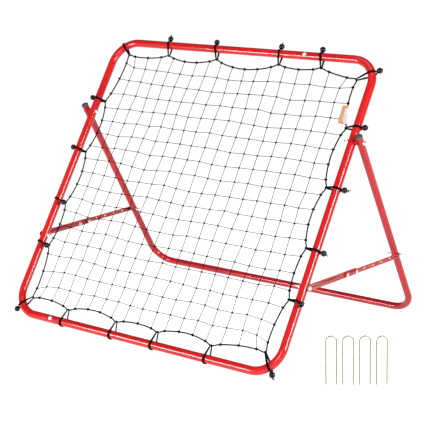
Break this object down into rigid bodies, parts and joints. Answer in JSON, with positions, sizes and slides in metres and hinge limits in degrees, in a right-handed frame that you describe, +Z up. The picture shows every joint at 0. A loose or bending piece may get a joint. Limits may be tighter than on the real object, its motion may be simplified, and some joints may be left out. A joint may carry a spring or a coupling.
{
  "type": "pitch back rebounder",
  "caption": "Square tube frame leaning back on a folding U-shaped stand with adjusting bars; a knotted net is laced inside it on elastic ball ties; loose U-shaped ground pegs.",
  "frame": {"origin": "on the ground, at the middle of the footprint between the front tube and the rear tube", "axes": "+X to the right as seen from the front, +Y to the back, +Z up; the net faces -Y and leans back"},
  "size_m": [1.2801, 0.806, 0.8565],
  "materials": {
    "frame_paint": "gloss",
    "stand_paint": "gloss",
    "bar_paint": "gloss",
    "zinc": "bright zinc plate",
    "spring_steel": "satin",
    "button_metal": "satin",
    "net_twine": "matt",
    "edge_rope": "matt",
    "label_cloth": "matt",
    "elastic_tie": "gloss ball on a matt cord",
    "spacer_nylon": "matt",
    "cap_plastic": "satin",
    "peg_wire": "dull"
  },
  "bodies": {
    "main_frame": {"left_frame_half": "frame_paint", "right_frame_half": "frame_paint", "top_button_spring": "spring_steel", "bottom_button_spring": "spring_steel", "net": "net_twine", "net_edge_rope": "edge_rope", "net_label": "label_cloth", "ball_tie_top_1": "elastic_tie", "ball_tie_top_2": "elastic_tie", "ball_tie_top_3": "elastic_tie", "ball_tie_top_4": "elastic_tie", "ball_tie_right_1": "elastic_tie", "ball_tie_right_2": "elastic_tie", "ball_tie_right_3": "elastic_tie", "ball_tie_right_4": "elastic_tie", "ball_tie_bottom_1": "elastic_tie", "ball_tie_bottom_2": "elastic_tie", "ball_tie_bottom_3": "elastic_tie", "ball_tie_bottom_4": "elastic_tie", "ball_tie_left_1": "elastic_tie", "ball_tie_left_2": "elastic_tie", "ball_tie_left_3": "elastic_tie", "ball_tie_left_4": "elastic_tie", "ball_tie_corner_1": "elastic_tie", "ball_tie_corner_2": "elastic_tie", "ball_tie_corner_3": "elastic_tie", "ball_tie_corner_4": "elastic_tie", "pivot_bolts": "zinc", "pivot_nuts": "zinc", "pivot_spacers": "spacer_nylon", "lower_bar_bolts": "zinc", "lower_bar_nuts": "zinc", "frame_washers": "zinc"},
    "stand": {"stand_tube": "stand_paint", "right_leg_cap": "cap_plastic", "left_leg_cap": "cap_plastic", "upper_bar_bolts": "zinc", "upper_bar_nuts": "zinc", "stand_washers": "zinc"},
    "right_lower_bar": {"right_lower_bar": "bar_paint", "right_lock_nuts": "zinc"},
    "left_lower_bar": {"left_lower_bar": "bar_paint", "left_lock_nuts": "zinc"},
    "right_upper_bar": {"right_upper_bar": "bar_paint", "right_lock_bolts": "zinc"},
    "left_upper_bar": {"left_upper_bar": "bar_paint", "left_lock_bolts": "zinc"},
    "top_button": {"top_button": "button_metal"},
    "bottom_button": {"bottom_button": "button_metal"},
    "ground_peg_1": {"ground_peg_1": "peg_wire"},
    "ground_peg_2": {"ground_peg_2": "peg_wire"},
    "ground_peg_3": {"ground_peg_3": "peg_wire"},
    "ground_peg_4": {"ground_peg_4": "peg_wire"}
  },
  "joints": [
    {"name": "stand_fold", "type": "hinge", "parent": "main_frame", "child": "stand", "pos_m": [0, 0.00754, 0.60742], "axis": [-1, 0, 0], "range_deg": [0, 46]},
    {"name": "right_lower_bar_hinge", "type": "hinge", "parent": "main_frame", "child": "right_lower_bar", "pos_m": [0.502, -0.24312, 0.23369], "axis": [1, 0, 0], "range_deg": [0, 47.5]},
    {"name": "right_upper_bar_hinge", "type": "hinge", "parent": "stand", "child": "right_upper_bar", "pos_m": [0.525, 0.2538, 0.22244], "axis": [1, 0, 0], "range_deg": [0, 73.5]},
    {"name": "left_lower_bar_hinge", "type": "hinge", "parent": "main_frame", "child": "left_lower_bar", "pos_m": [-0.502, -0.24312, 0.23369], "axis": [1, 0, 0], "range_deg": [0, 47.5]},
    {"name": "left_upper_bar_hinge", "type": "hinge", "parent": "stand", "child": "left_upper_bar", "pos_m": [-0.525, 0.2538, 0.22244], "axis": [1, 0, 0], "range_deg": [0, 73.5]},
    {"name": "top_button_press", "type": "slide", "parent": "main_frame", "child": "top_button", "axis": [0, 0.8305, -0.557], "range_m": [0, 0.004], "stiffness_N_per_m": 1500, "springref_m": -0.003},
    {"name": "bottom_button_press", "type": "slide", "parent": "main_frame", "child": "bottom_button", "axis": [0, 0.8305, -0.557], "range_m": [0, 0.004], "stiffness_N_per_m": 1500, "springref_m": -0.003},
    {"name": "ground_peg_1_lift", "type": "slide", "parent": "main_frame", "child": "ground_peg_1", "axis": [0, 0, 1], "range_m": [0, 0.16]},
    {"name": "ground_peg_2_lift", "type": "slide", "parent": "main_frame", "child": "ground_peg_2", "axis": [0, 0, 1], "range_m": [0, 0.16]},
    {"name": "ground_peg_3_lift", "type": "slide", "parent": "main_frame", "child": "ground_peg_3", "axis": [0, 0, 1], "range_m": [0, 0.16]},
    {"name": "ground_peg_4_lift", "type": "slide", "parent": "main_frame", "child": "ground_peg_4", "axis": [0, 0, 1], "range_m": [0, 0.16]}
  ],
  "couplings": [
    {"joint": "right_lower_bar_hinge", "follows": "stand_fold", "ratio": 1.03},
    {"joint": "right_upper_bar_hinge", "follows": "stand_fold", "ratio": 1.596},
    {"joint": "left_lower_bar_hinge", "follows": "stand_fold", "ratio": 1.03},
    {"joint": "left_upper_bar_hinge", "follows": "stand_fold", "ratio": 1.596}
  ]
}
